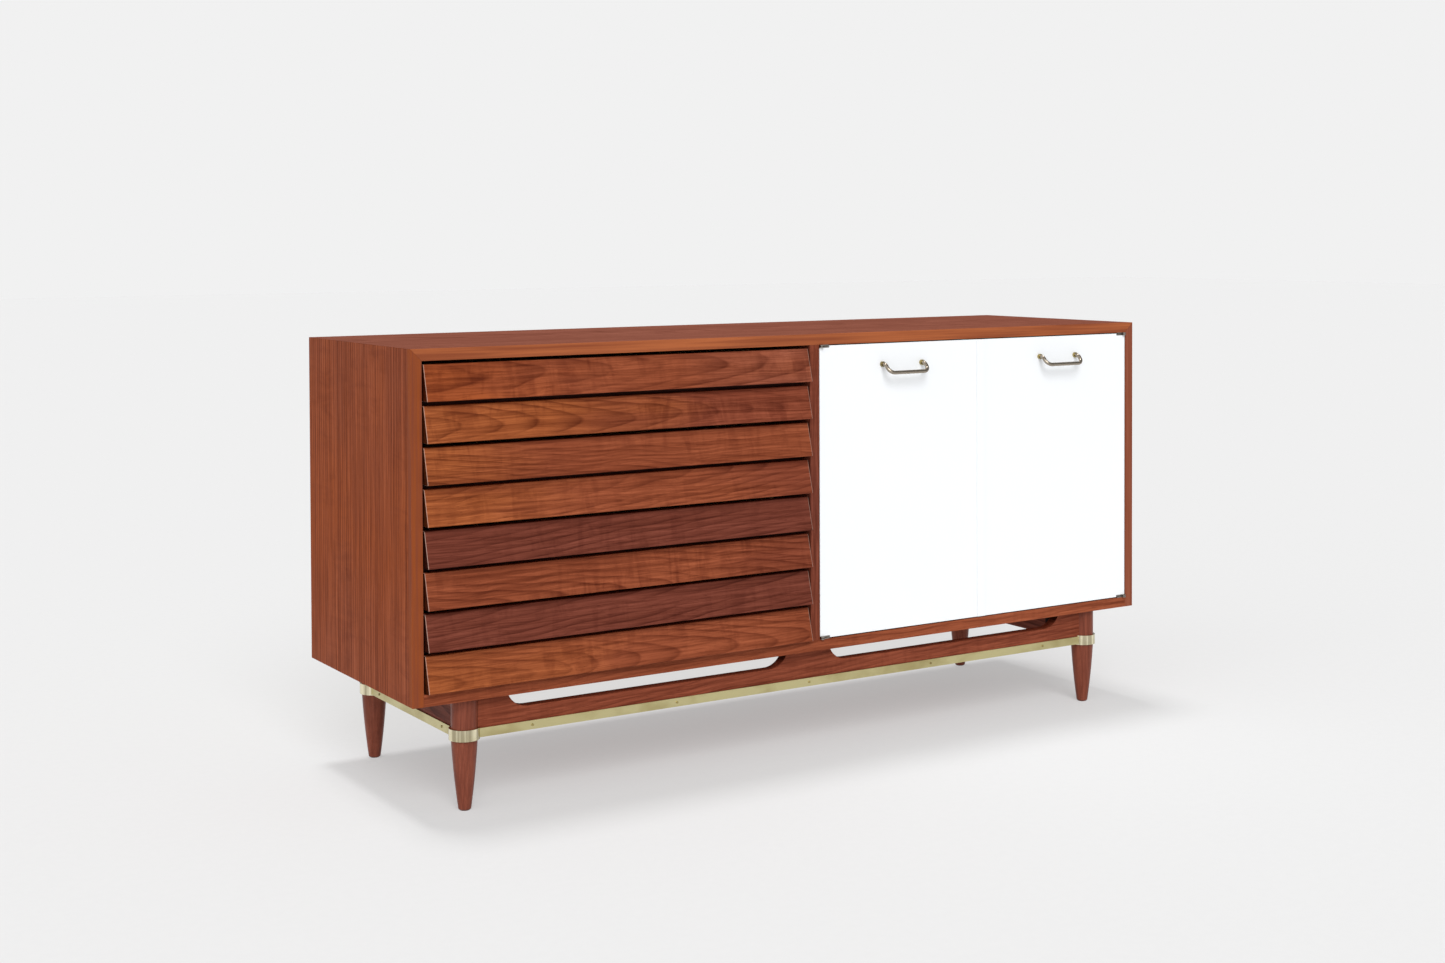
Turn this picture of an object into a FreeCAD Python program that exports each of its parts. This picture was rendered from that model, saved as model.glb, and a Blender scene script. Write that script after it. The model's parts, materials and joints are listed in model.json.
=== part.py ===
import FreeCAD, Part

import math
import os
import re

import Sketcher
from FreeCAD import Vector

# A walnut sideboard on a scalloped leg base: four drawers behind louvred slats on the left,
# a cupboard with two white doors on the right. X runs to the right, Y to the back, Z up, and
# the origin is on the floor at the middle of the whole object's plan.

DIMENSIONS = [
    ("case_width", 1676, "outside width of the case"),
    ("case_depth", 483, "outside depth of the case"),
    ("case_height", 614, "outside height of the case"),
    ("board", 21, "thickness of the case boards"),
    ("back_board", 6, "thickness of the back panel"),
    ("rabbet", 8, "width of the rabbet that takes the back panel"),
    ("drawer_count", 4, "drawers in the left bay, one above the other"),
    ("slat_gap_above", 6.5, "from the top of a slat's share of the bay to the slat"),
    ("slat_gap_below", 2, "from the slat to the bottom of its share of the bay"),
    ("slat_side_gap", 3.5, "gap at each end of a slat"),
    ("slat_recess", 3, "the slat's upper edge, behind the case front"),
    ("slat_reach", 14, "the slat's lower edge, ahead of the case front"),
    ("slat_back", 21, "the slat's flat back, behind the case front"),
    ("slat_round", 1.5, "radius of the slat's long front edges"),
    ("box_play", 3, "gap between a drawer box and the case at each side"),
    ("box_board", 14, "thickness of the drawer box boards"),
    ("box_height", 112, "height of the drawer box"),
    ("box_lift", 14, "the drawer box above the bottom of its share of the bay"),
    ("box_rear", 440, "rear of the drawer box, behind the case front"),
    ("tray_board", 6, "thickness of the drawer bottom"),
    ("tray_lift", 8, "the drawer bottom above the lower edge of the box"),
    ("tray_groove", 6, "depth of the groove for the drawer bottom"),
    ("runner_width", 10, "thickness of the wooden runner"),
    ("runner_height", 14.4, "height of the runner"),
    ("runner_play", 0.3, "clearance above and below the runner in its groove"),
    ("runner_lift", 40, "the runner groove above the lower edge of the box"),
    ("runner_groove", 8, "depth of the runner groove in the drawer side"),
    ("runner_front", 38, "front end of the runner, behind the case front"),
    ("runner_rear", 470, "rear end of the runner, behind the case front"),
    ("door_board", 19, "thickness of the doors"),
    ("door_recess", 0.5, "the door face behind the case front"),
    ("door_gap", 1.5, "gap at the hinge edge of a door"),
    ("meeting_gap", 0.4, "gap between the two doors"),
    ("meeting_bevel", 1.2, "how far a door's meeting edge is cut back at its rear"),
    ("door_end_gap", 2, "gap above and below the doors"),
    ("meeting_line", 404.25, "where the two doors meet, right of the middle"),
    ("strip_width", 20, "width of the meeting strip on the right door"),
    ("strip_board", 2.5, "thickness of the meeting strip"),
    ("pivot_inset", 5, "hinge pivot from the face of the case board"),
    ("pivot_ahead", 2, "hinge pivot ahead of the case front"),
    ("leaf_board", 2.4, "thickness of a hinge leaf"),
    ("leaf_nose", 4, "radius of the hinge leaf round its pin"),
    ("leaf_length", 18, "length of a hinge leaf from its pin"),
    ("leaf_depth", 12, "depth of a hinge leaf behind its pin"),
    ("pin_radius", 1.8, "radius of the hinge pin"),
    ("pin_clearance", 0.06, "clearance round the hinge pin"),
    ("notch_length", 20, "length of the hinge notch from the pin"),
    ("notch_height", 4, "height of the hinge notch in the door"),
    ("left_pull_place", 212, "middle of the left door's pull, right of the middle"),
    ("right_pull_place", 622, "middle of the right door's pull, right of the middle"),
    ("pull_height", 550, "the pull's posts above the underside of the case"),
    ("pull_spacing", 98, "distance between the two posts of a pull"),
    ("pull_forward", 25, "the pull's grip ahead of the case front"),
    ("pull_drop", 16, "the pull's grip below its posts"),
    ("pull_straight", 11, "straight part of the posts ahead of the case front"),
    ("pull_root", 12, "depth of the posts behind the case front"),
    ("pull_bend", 13, "radius of the bends along the middle of the pull's wire"),
    ("wire_radius", 3.8, "radius of the pull's wire"),
    ("collar_radius", 5.4, "radius of the collars round the posts"),
    ("collar_length", 5, "length of the collars"),
    ("screw_radius", 1.8, "radius of a screw's shank"),
    ("screw_head", 4, "radius of a screw's head"),
    ("screw_head_height", 2.2, "height of a screw's head"),
    ("leg_height", 199, "from the floor to the underside of the case"),
    ("leg_place", 726, "middle of a leg from the middle of the case"),
    ("leg_setback", 36, "middle of a leg from the front or back of the case"),
    ("leg_radius", 23.5, "radius of the leg's straight upper part"),
    ("leg_straight", 74, "height of the leg's straight upper part"),
    ("leg_belly", 18.6, "radius half way down the taper"),
    ("foot_radius", 11.4, "radius of the foot"),
    ("foot_round", 2.5, "rounding under the foot"),
    ("rail_height", 72, "height of the base rails"),
    ("rail_board", 22, "thickness of the base rails"),
    ("rail_ahead", 12.7, "outer face of a base rail outside the middle of the legs"),
    ("strap_height", 16, "height of the brass strap"),
    ("strap_board", 2.5, "thickness of the brass strap"),
    ("band_height", 20, "height of the brass band round a leg"),
    ("band_board", 4, "thickness of the brass band round a leg"),
    ("cutout_depth", 29, "depth of the cut-outs in the front rail"),
    ("cutout_inner", 50, "inner end of a cut-out from the middle"),
    ("cutout_outer", 648, "outer end of a cut-out from the middle"),
    ("cutout_curve", 40, "length of the curve at each end of a cut-out"),
    ("block_length", 44, "length of a block behind the base rails"),
    ("block_side", 30, "height and depth of a block behind the base rails"),
    ("block_spread", 679, "distance between neighbouring blocks"),
    ("screw_bite", 15, "how far a base screw enters the bottom panel"),
    ("nail_radius", 2.2, "radius of a brass nail head"),
    ("nail_height", 1.2, "height of a brass nail head"),
    ("nail_spread", 300, "distance between nails along the front strap"),
    ("nail_side_inset", 62, "side nail from the middle of the nearest leg"),
    ("shelf_board", 18, "thickness of the shelf"),
    ("shelf_depth", 400, "depth of the shelf"),
    ("shelf_front", 50, "front edge of the shelf, behind the case front"),
    ("shelf_place", 286, "shelf pins above the cupboard floor"),
    ("shelf_play", 1.5, "gap at each end of the shelf"),
    ("peg_radius", 2.5, "radius of a shelf pin"),
    ("peg_hole", 10, "depth of a shelf pin's hole"),
    ("peg_reach", 9, "how far a shelf pin stands out"),
    ("peg_inset", 60, "shelf pins from the front and back edge of the shelf"),
    ("peg_step", 32, "distance between rows of shelf pin holes"),
    ("catch_length", 40, "length of a magnetic door catch"),
    ("catch_side", 14, "height and depth of a door catch"),
    ("catch_gap", 0.5, "gap between a closed door and its catch"),
    ("catch_inset", 20, "door catch from the meeting line"),
]

SLATS_PER_DRAWER = 2

# Counting positions of things that come in fives, spread evenly about the middle one.
FIVE_ABOUT_MIDDLE = (-2, -1, 0, 1, 2)

BACKWARDS = Vector(0, 1, 0)

# Levels and planes that many pieces share, as expressions of the driving dimensions.
FRONT = "((pull_forward + wire_radius - case_depth) / 2)"
BACK = f"({FRONT} + case_depth)"
CASE_TOP = "(leg_height + case_height)"
BAY_TOP = "(leg_height + case_height - board)"
BAY_FLOOR = "(leg_height + board)"
BAY_HEIGHT = "(case_height - 2 * board)"
BAY_WIDTH = "((case_width - 3 * board) / 2)"
INNER_SIDE = "(case_width / 2 - board)"
DRAWER_PITCH = f"({BAY_HEIGHT} / drawer_count)"
DOOR_FRONT = f"({FRONT} + door_recess)"
DOOR_BACK = f"({DOOR_FRONT} + door_board)"
PULL_LEVEL = "(leg_height + pull_height)"
RAIL_FRONT = f"({FRONT} + leg_setback - rail_ahead)"
BACK_RAIL_FRONT = f"({BACK} - leg_setback + rail_ahead - rail_board)"
RAIL_FOOT = "(leg_height - rail_height)"
LEG_SPAN = "(case_depth - 2 * leg_setback)"
SIDE_RAIL_STARTS = ("-leg_place - rail_ahead", "leg_place + rail_ahead - rail_board")
BAND_RADIUS = "(leg_radius + band_board)"
BAND_FOOT = "(leg_height - rail_height + strap_height / 2 - band_height / 2)"

document = FreeCAD.newDocument("sideboard")
sheet = document.addObject("Spreadsheet::Sheet", "dims")
parts = []


def fill_sheet():
    """Write the driving dimensions: meaning, number and alias of each."""
    for row, (alias, number, meaning) in enumerate(DIMENSIONS, start=1):
        sheet.set(f"A{row}", meaning)
        sheet.set(f"B{row}", str(number))
        sheet.setAlias(f"B{row}", alias)
    document.recompute()


def bound(expression):
    """The expression with each dimension's name pointed at its cell."""
    return re.sub(r"[a-z]\w*", lambda word: f"dims.{word.group(0)}", expression)


def value(expression):
    """The number that an expression of the driving dimensions gives now."""
    return float(sheet.evalExpression(bound(expression)))


def bind(item, **expressions):
    """Bind properties of an object to expressions of the driving dimensions."""
    for name, expression in expressions.items():
        item.setExpression(name, bound(expression))


def place(item, corner):
    """Bind the three coordinates of an object's placement."""
    for axis, expression in zip("xyz", corner):
        item.setExpression(f".Placement.Base.{axis}", bound(expression))


def publish(item, label):
    """Name an object as a piece of the sideboard."""
    item.Label = label
    parts.append(item)
    return item


# Solids

def box(size, corner):
    """A block whose lowest corner is at the given place."""
    item = document.addObject("Part::Box", "block")
    bind(item, Length=size[0], Width=size[1], Height=size[2])
    place(item, corner)
    return item


def rod(radius, length, centre, direction=Vector(0, 0, 1)):
    """A round rod that starts at the centre and runs along the direction."""
    item = document.addObject("Part::Cylinder", "rod")
    bind(item, Radius=radius, Height=length)
    item.Placement = FreeCAD.Placement(Vector(), FreeCAD.Rotation(Vector(0, 0, 1), direction))
    place(item, centre)
    return item


def group(members):
    """Separate solids kept together."""
    item = document.addObject("Part::Compound", "group")
    item.Links = members
    return item


def fused(members):
    """Solids joined into one."""
    item = document.addObject("Part::MultiFuse", "joined")
    item.Shapes = members
    return item


def cut(base, tool):
    """A solid with another one's space taken out of it."""
    item = document.addObject("Part::Cut", "trimmed")
    item.Base = base
    item.Tool = tool
    return item


# Sketched features

def new_body():
    return document.addObject("PartDesign::Body", "body")


def new_sketch(body, plane):
    """An empty sketch on one of the body's own origin planes."""
    item = body.newObject("Sketcher::SketchObject", "sketch")
    planes = [feature for feature in body.Origin.OriginFeatures if feature.Role == plane]
    item.AttachmentSupport = (planes[0], [""])
    item.MapMode = "FlatFace"
    return item


def fix_point(sketch, geometry, end, x, y):
    """Bind one end of an edge to its distances from the sketch's origin."""
    for kind, expression, axis in (("DistanceX", x, -2), ("DistanceY", y, -1)):
        if expression == "0":
            sketch.addConstraint(Sketcher.Constraint("PointOnObject", geometry, end, axis))
            continue
        rule = Sketcher.Constraint(kind, -1, 1, geometry, end, value(expression))
        index = sketch.addConstraint(rule)
        sketch.setExpression(f"Constraints[{index}]", bound(expression))


def outline(sketch, corners):
    """A closed polygon with every corner bound to the driving dimensions."""
    points = [Vector(value(x), value(y), 0) for x, y in corners]
    following = points[1:] + points[:1]
    edges = [sketch.addGeometry(Part.LineSegment(*pair), False) for pair in zip(points, following)]
    for edge, after in zip(edges, edges[1:] + edges[:1]):
        sketch.addConstraint(Sketcher.Constraint("Coincident", edge, 2, after, 1))
    for edge, (x, y) in zip(edges, corners):
        fix_point(sketch, edge, 1, x, y)


def circle(sketch, x, y, radius):
    """A circle with its centre and radius bound to the driving dimensions."""
    shape = Part.Circle(Vector(value(x), value(y), 0), Vector(0, 0, 1), value(radius))
    index = sketch.addGeometry(shape, False)
    fix_point(sketch, index, 3, x, y)
    rule = sketch.addConstraint(Sketcher.Constraint("Radius", index, value(radius)))
    sketch.setExpression(f"Constraints[{rule}]", bound(radius))


def pad(body, sketch, length, reversed_way=False):
    """Raise the sketch into a solid."""
    item = body.newObject("PartDesign::Pad", "pad")
    item.Profile = sketch
    item.Reversed = reversed_way
    bind(item, Length=length)
    document.recompute()
    return item


def pocket(body, sketch, length, reversed_way=False):
    """Sink the sketch into the body, and make sure that it took something away."""
    before = body.Shape.Volume
    item = body.newObject("PartDesign::Pocket", "pocket")
    item.Profile = sketch
    item.Reversed = reversed_way
    bind(item, Length=length)
    document.recompute()
    if body.Shape.Volume >= before:
        raise ValueError("a pocket took nothing away")
    return item


def round_edges(body, feature, radius, wanted):
    """Round the edges of a feature that the test picks."""
    names = [f"Edge{number}" for number, edge in enumerate(feature.Shape.Edges, start=1) if wanted(edge)]
    item = body.newObject("PartDesign::Fillet", "rounding")
    item.Base = (feature, names)
    bind(item, Radius=radius)
    document.recompute()


def profile_along_depth(corners, depth, corner):
    """A board with its section in the X-Z plane, run towards the back."""
    body = new_body()
    sketch = new_sketch(body, "XZ_Plane")
    outline(sketch, corners)
    pad(body, sketch, depth, reversed_way=True)
    place(body, corner)
    return body


def profile_along_height(corners, height, corner):
    """A board with its section in the X-Y plane, run upwards."""
    body = new_body()
    sketch = new_sketch(body, "XY_Plane")
    outline(sketch, corners)
    pad(body, sketch, height)
    place(body, corner)
    return body


def profile_along_width(corners, width, corner):
    """A board with its section in the Y-Z plane, run towards the right."""
    body = new_body()
    sketch = new_sketch(body, "YZ_Plane")
    outline(sketch, corners)
    feature = pad(body, sketch, width)
    place(body, corner)
    return body, feature


# Case

def back_rabbet():
    """The space behind the case that the back panel fills."""
    size = ("case_width - 2 * board + 2 * rabbet", "back_board", f"{BAY_HEIGHT} + 2 * rabbet")
    return box(size, ("board - rabbet - case_width / 2", f"{BACK} - back_board", f"{BAY_FLOOR} - rabbet"))


def make_top(rabbet_space):
    """The top, mitred to the sides."""
    section = [
        ("-case_width / 2", "0"), ("case_width / 2", "0"),
        (INNER_SIDE, "-board"), (f"-{INNER_SIDE}", "-board"),
    ]
    board = profile_along_depth(section, "case_depth", ("0", FRONT, CASE_TOP))
    publish(cut(board, rabbet_space), "top_panel")


def shelf_holes(body, reversed_way):
    """Two columns of holes for the shelf pins, sunk into the face that looks into the cupboard."""
    sketch = new_sketch(body, "YZ_Plane")
    for depth in ("shelf_front + peg_inset", "shelf_front + shelf_depth - peg_inset"):
        for row in FIVE_ABOUT_MIDDLE:
            height = f"shelf_place + ({row}) * peg_step - peg_radius + board"
            circle(sketch, depth, height, "peg_radius")
    pocket(body, sketch, "peg_hole", reversed_way)


def make_sides(rabbet_space):
    """The sides run down past the bottom and are mitred to the top."""
    left_section = [("0", "0"), ("-board", "0"), ("-board", "case_height"), ("0", "case_height - board")]
    left = profile_along_depth(left_section, "case_depth", (f"-{INNER_SIDE}", FRONT, "leg_height"))
    publish(cut(left, rabbet_space), "left_side_panel")
    right_section = [("0", "0"), ("board", "0"), ("board", "case_height"), ("0", "case_height - board")]
    right = profile_along_depth(right_section, "case_depth", (INNER_SIDE, FRONT, "leg_height"))
    shelf_holes(right, True)
    publish(cut(right, rabbet_space), "right_side_panel")


def make_bottom(rabbet_space, screws):
    """The bottom, between the sides."""
    board = box(("case_width - 2 * board", "case_depth", "board"), (f"-{INNER_SIDE}", FRONT, "leg_height"))
    publish(cut(cut(board, rabbet_space), screws), "bottom_panel")


def make_divider():
    """The upright board between the drawers and the cupboard."""
    section = [
        ("0", "board"), ("-board", "board"),
        ("-board", "case_height - board"), ("0", "case_height - board"),
    ]
    divider = profile_along_depth(section, "case_depth - back_board", ("board / 2", FRONT, "leg_height"))
    shelf_holes(divider, False)
    publish(divider, "divider_panel")


def make_shelf():
    """A loose shelf on four pins."""
    pin_level = f"{BAY_FLOOR} + shelf_place"
    size = (f"{BAY_WIDTH} - 2 * shelf_play", "shelf_depth", "shelf_board")
    publish(box(size, ("board / 2 + shelf_play", f"{FRONT} + shelf_front", pin_level)), "shelf")
    pegs = []
    for wall in ("board / 2 - peg_hole", f"{INNER_SIDE} - peg_reach"):
        for depth in ("peg_inset", "shelf_depth - peg_inset"):
            centre = (wall, f"{FRONT} + shelf_front + {depth}", f"{pin_level} - peg_radius")
            pegs.append(rod("peg_radius", "peg_hole + peg_reach", centre, Vector(1, 0, 0)))
    publish(group(pegs), "shelf_pins")


# Drawers

def drawer_floor(drawer):
    """The bottom of a drawer's share of the bay, counted from the top drawer."""
    return f"({BAY_TOP} - {drawer + 1} * {DRAWER_PITCH})"


def make_slat(label, floor):
    """A louvre with a sloping face and a flat back, its long front edges eased."""
    low = "slat_gap_below"
    high = f"({DRAWER_PITCH} / {SLATS_PER_DRAWER} - slat_gap_above)"
    section = [("-slat_reach", low), ("slat_back", low), ("slat_back", high), ("slat_recess", high)]
    width = f"{BAY_WIDTH} - 2 * slat_side_gap"
    slat, feature = profile_along_width(section, width, (f"slat_side_gap - {INNER_SIDE}", FRONT, floor))
    front_limit = value("slat_recess") + 1
    round_edges(slat, feature, "slat_round", lambda edge: is_long_front_edge(edge, front_limit))
    publish(slat, label)


def is_long_front_edge(edge, front_limit):
    """Whether an edge runs along X in front of the given depth."""
    first, last = edge.Vertexes[0].Point, edge.Vertexes[-1].Point
    runs_along = abs(first.y - last.y) < 0.1 and abs(first.x - last.x) > 1
    return runs_along and max(first.y, last.y) < front_limit


def make_box_side(left_end, outer, inner, floor):
    """A drawer side, grooved outside for the runner and inside for the drawer bottom."""
    groove_low = "runner_lift"
    groove_high = "(runner_lift + runner_height + 2 * runner_play)"
    inwards = f"(({inner} - {outer}) / box_board)"
    runner_face = f"{outer} + {inwards} * runner_groove"
    tray_face = f"{inner} - {inwards} * tray_groove"
    tray_top = "tray_lift + tray_board"
    section = [
        (outer, "0"), (outer, groove_low), (runner_face, groove_low), (runner_face, groove_high),
        (outer, groove_high), (outer, "box_height"), (inner, "box_height"), (inner, tray_top),
        (tray_face, tray_top), (tray_face, "tray_lift"), (inner, "tray_lift"), (inner, "0"),
    ]
    front = "slat_back + box_board"
    return profile_along_depth(section, f"box_rear - ({front})", (left_end, f"{FRONT} + {front}", floor))


def make_drawer(drawer):
    """Two slats on a box of five boards."""
    name = f"drawer_{drawer + 1}"
    floor = drawer_floor(drawer)
    box_floor = f"({floor} + box_lift)"
    left = f"(box_play - {INNER_SIDE})"
    width = f"({BAY_WIDTH} - 2 * box_play)"
    make_slat(f"{name}_upper_slat", f"{floor} + {DRAWER_PITCH} / {SLATS_PER_DRAWER}")
    make_slat(f"{name}_lower_slat", floor)
    groove, tray_top = "box_board - tray_groove", "tray_lift + tray_board"
    front_section = [
        ("0", "0"), ("box_board", "0"), ("box_board", "tray_lift"), (groove, "tray_lift"),
        (groove, tray_top), ("box_board", tray_top), ("box_board", "box_height"), ("0", "box_height"),
    ]
    front, _ = profile_along_width(front_section, width, (left, f"{FRONT} + slat_back", box_floor))
    publish(front, f"{name}_box_front")
    sides = [
        make_box_side(left, "0", "box_board", box_floor),
        make_box_side(f"{left} + {width}", "0", "(-box_board)", box_floor),
    ]
    publish(group(sides), f"{name}_sides")
    inside = f"({width} - 2 * box_board)"
    back_height = "box_height - tray_lift - tray_board"
    back_front = f"{FRONT} + box_rear - box_board"
    back_corner = (f"{left} + box_board", back_front, f"{box_floor} + {tray_top}")
    publish(box((inside, "box_board", back_height), back_corner), f"{name}_box_back")
    tray_front = "(slat_back + box_board - tray_groove)"
    tray_size = (f"{inside} + 2 * tray_groove", f"box_rear - {tray_front}", "tray_board")
    tray_left = f"{left} + box_board - tray_groove"
    tray_corner = (tray_left, f"{FRONT} + {tray_front}", f"{box_floor} + tray_lift")
    publish(box(tray_size, tray_corner), f"{name}_bottom")


def make_runners():
    """A wooden runner on each side of every drawer."""
    size = ("runner_width", "runner_rear - runner_front", "runner_height")
    runners = []
    for drawer in range(int(value("drawer_count"))):
        level = f"{drawer_floor(drawer)} + box_lift + runner_lift + runner_play"
        for wall in (f"-{INNER_SIDE}", "-board / 2 - runner_width"):
            runners.append(box(size, (wall, f"{FRONT} + runner_front", level)))
    publish(group(runners), "drawer_runners")


# Doors. "side" is 1 for the left door, whose hinges are at its left, and -1 for the right door.

def pivot_place(side):
    """Plan position of a door's hinge pin."""
    wall = "board / 2 + pivot_inset" if side == 1 else f"{INNER_SIDE} - pivot_inset"
    return wall, f"{FRONT} - pivot_ahead"


def sideways_box(side, start, end, depth, corner_y, height, low):
    """A block between two distances from the hinge pin, measured into the cupboard."""
    pin = pivot_place(side)[0]
    first = start if side == 1 else f"(-({end}))"
    return box((f"({end}) - ({start})", depth, height), (f"{pin} + {first}", corner_y, low))


def hinge_leaf(side, low):
    """A flat leaf with a round nose at the pin."""
    pin_x, pin_y = pivot_place(side)
    nose = rod("leaf_nose", "leaf_board", (pin_x, pin_y, low))
    neck = sideways_box(side, "-leaf_nose", "leaf_nose", "pivot_ahead + 1", pin_y, "leaf_board", low)
    plate_y = f"{pin_y} + pivot_ahead"
    plate_depth = "leaf_depth - pivot_ahead"
    plate = sideways_box(side, "1 - leaf_nose", "leaf_length", plate_depth, plate_y, "leaf_board", low)
    return fused([nose, neck, plate])


def leaf_levels():
    """Undersides of the case leaf and the door leaf and the foot of the pin, at top and bottom."""
    notch_floor = f"({BAY_TOP} - door_end_gap - notch_height)"
    notch_roof = f"({BAY_FLOOR} + door_end_gap + notch_height)"
    return [
        (f"{BAY_TOP} - leaf_board", notch_floor, notch_floor),
        (BAY_FLOOR, f"{notch_roof} - leaf_board", f"{BAY_FLOOR} + leaf_board"),
    ]


def make_hinges():
    """A knife hinge at the outer top and bottom corner of each door: pins on the case leaves."""
    case_leaves = []
    pin_length = "door_end_gap + notch_height - leaf_board"
    for side, name in ((1, "left"), (-1, "right")):
        pin_x, pin_y = pivot_place(side)
        door_leaves = []
        for case_low, door_low, pin_low in leaf_levels():
            pin = rod("pin_radius", pin_length, (pin_x, pin_y, pin_low))
            case_leaves.append(fused([hinge_leaf(side, case_low), pin]))
            bore = rod("pin_radius + pin_clearance", "leaf_board", (pin_x, pin_y, door_low))
            door_leaves.append(cut(hinge_leaf(side, door_low), bore))
        publish(group(door_leaves), f"{name}_hinge_leaves")
    publish(group(case_leaves), "case_hinge_leaves")


def post_places(side):
    """Where a pull's two posts stand."""
    middle = "left_pull_place" if side == 1 else "right_pull_place"
    return [f"{middle} - pull_spacing / 2", f"{middle} + pull_spacing / 2"]


def door_spaces(side):
    """What is cut out of a door: the hinge notches, the post holes and the screw holes behind them."""
    spaces = []
    for low in (f"{BAY_TOP} - door_end_gap - notch_height", f"{BAY_FLOOR} + door_end_gap"):
        size = ("door_board", DOOR_FRONT, "notch_height")
        spaces.append(sideways_box(side, "-pivot_inset", "notch_length", *size, low))
    for middle in post_places(side):
        post_hole = "pull_root - door_recess"
        spaces.append(rod("wire_radius", post_hole, (middle, DOOR_FRONT, PULL_LEVEL), BACKWARDS))
        screw_hole = "door_recess + door_board - pull_root"
        post_end = (middle, f"{FRONT} + pull_root", PULL_LEVEL)
        spaces.append(rod("screw_radius", screw_hole, post_end, BACKWARDS))
    return group(spaces)


def make_doors():
    """Two flat doors, inset between the case boards, their meeting edges cut back at the rear."""
    height = f"{BAY_HEIGHT} - 2 * door_end_gap"
    floor = f"{BAY_FLOOR} + door_end_gap"
    left_width = "(meeting_line - meeting_gap / 2 - board / 2 - door_gap)"
    right_width = f"({INNER_SIDE} - door_gap - meeting_line - meeting_gap / 2)"
    left_rear = f"{left_width} - meeting_bevel"
    left_section = [("0", "0"), (left_width, "0"), (left_rear, "door_board"), ("0", "door_board")]
    right_section = [
        ("0", "0"), (right_width, "0"), (right_width, "door_board"), ("meeting_bevel", "door_board"),
    ]
    right_start = "meeting_line + meeting_gap / 2"
    left = profile_along_height(left_section, height, ("board / 2 + door_gap", DOOR_FRONT, floor))
    right = profile_along_height(right_section, height, (right_start, DOOR_FRONT, floor))
    for side, name, panel in ((1, "left", left), (-1, "right", right)):
        publish(cut(panel, door_spaces(side)), f"{name}_door")
        make_pull(side, name)
    strip_corner = (right_start, f"{DOOR_FRONT} - strip_board", floor)
    publish(box(("strip_width", "strip_board", height), strip_corner), "meeting_strip")


def rounded_path(points, radius):
    """Straight runs through the points, joined by tangent arcs."""
    edges = []
    start = points[0]
    for before, corner, after in zip(points, points[1:], points[2:]):
        to_before = (before - corner).normalize()
        to_after = (after - corner).normalize()
        half_angle = to_before.getAngle(to_after) / 2
        bisector = (to_before + to_after).normalize()
        centre = corner + bisector * (radius / math.sin(half_angle))
        trim = radius / math.tan(half_angle)
        first, last = corner + to_before * trim, corner + to_after * trim
        edges.append(Part.LineSegment(start, first).toShape())
        edges.append(Part.Arc(first, centre - bisector * radius, last).toShape())
        start = last
    edges.append(Part.LineSegment(start, points[-1]).toShape())
    return Part.Wire(edges)


def pull_wire(side):
    """A bent wire: two posts, and a grip that hangs forward and down from them."""
    front, level = value(FRONT), value(PULL_LEVEL)
    forward, drop = value("pull_forward"), value("pull_drop")
    root, straight = value("pull_root"), value("pull_straight")
    left, right = [value(middle) for middle in post_places(side)]
    points = [
        Vector(left, front + root, level), Vector(left, front - straight, level),
        Vector(left, front - forward, level - drop), Vector(right, front - forward, level - drop),
        Vector(right, front - straight, level), Vector(right, front + root, level),
    ]
    path = rounded_path(points, value("pull_bend"))
    ring = Part.Wire(Part.makeCircle(value("wire_radius"), points[0], -BACKWARDS))
    wire = document.addObject("Part::Feature", "wire")
    wire.Shape = path.makePipeShell([ring], True, True)
    return wire


def make_pull(side, name):
    """The wire of a pull, the collars on its posts, and the screws that hold it from behind."""
    screws, collars = [], []
    for middle in post_places(side):
        shank_start = (middle, f"{FRONT} + pull_root / 3", PULL_LEVEL)
        shank = rod("screw_radius", "door_recess + door_board - pull_root / 3", shank_start, BACKWARDS)
        head = rod("screw_head", "screw_head_height", (middle, DOOR_BACK, PULL_LEVEL), BACKWARDS)
        screws.append(fused([shank, head]))
        face = (middle, f"{DOOR_FRONT} - collar_length", PULL_LEVEL)
        sleeve = rod("collar_radius", "collar_length", face, BACKWARDS)
        bore = rod("wire_radius", "collar_length", face, BACKWARDS)
        collars.append(cut(sleeve, bore))
    screw_group = publish(group(screws), f"{name}_pull_screws")
    publish(cut(pull_wire(side), screw_group), f"{name}_pull")
    publish(group(collars), f"{name}_pull_collars")


def make_catches():
    """A magnetic catch for each door, under the top beside the meeting line."""
    size = ("catch_length", "catch_side", "catch_side")
    level = f"{BAY_TOP} - catch_side"
    depth = f"{DOOR_BACK} + catch_gap"
    starts = ("meeting_line - catch_inset - catch_length", "meeting_line + catch_inset")
    publish(group([box(size, (start, depth, level)) for start in starts]), "door_catches")


# Base

def leg_centres():
    """Names and plan positions of the four legs."""
    fore = f"({FRONT} + leg_setback)"
    rear = f"({BACK} - leg_setback)"
    return {
        "front_left": ("-leg_place", fore), "front_right": ("leg_place", fore),
        "back_left": ("-leg_place", rear), "back_right": ("leg_place", rear),
    }


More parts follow.
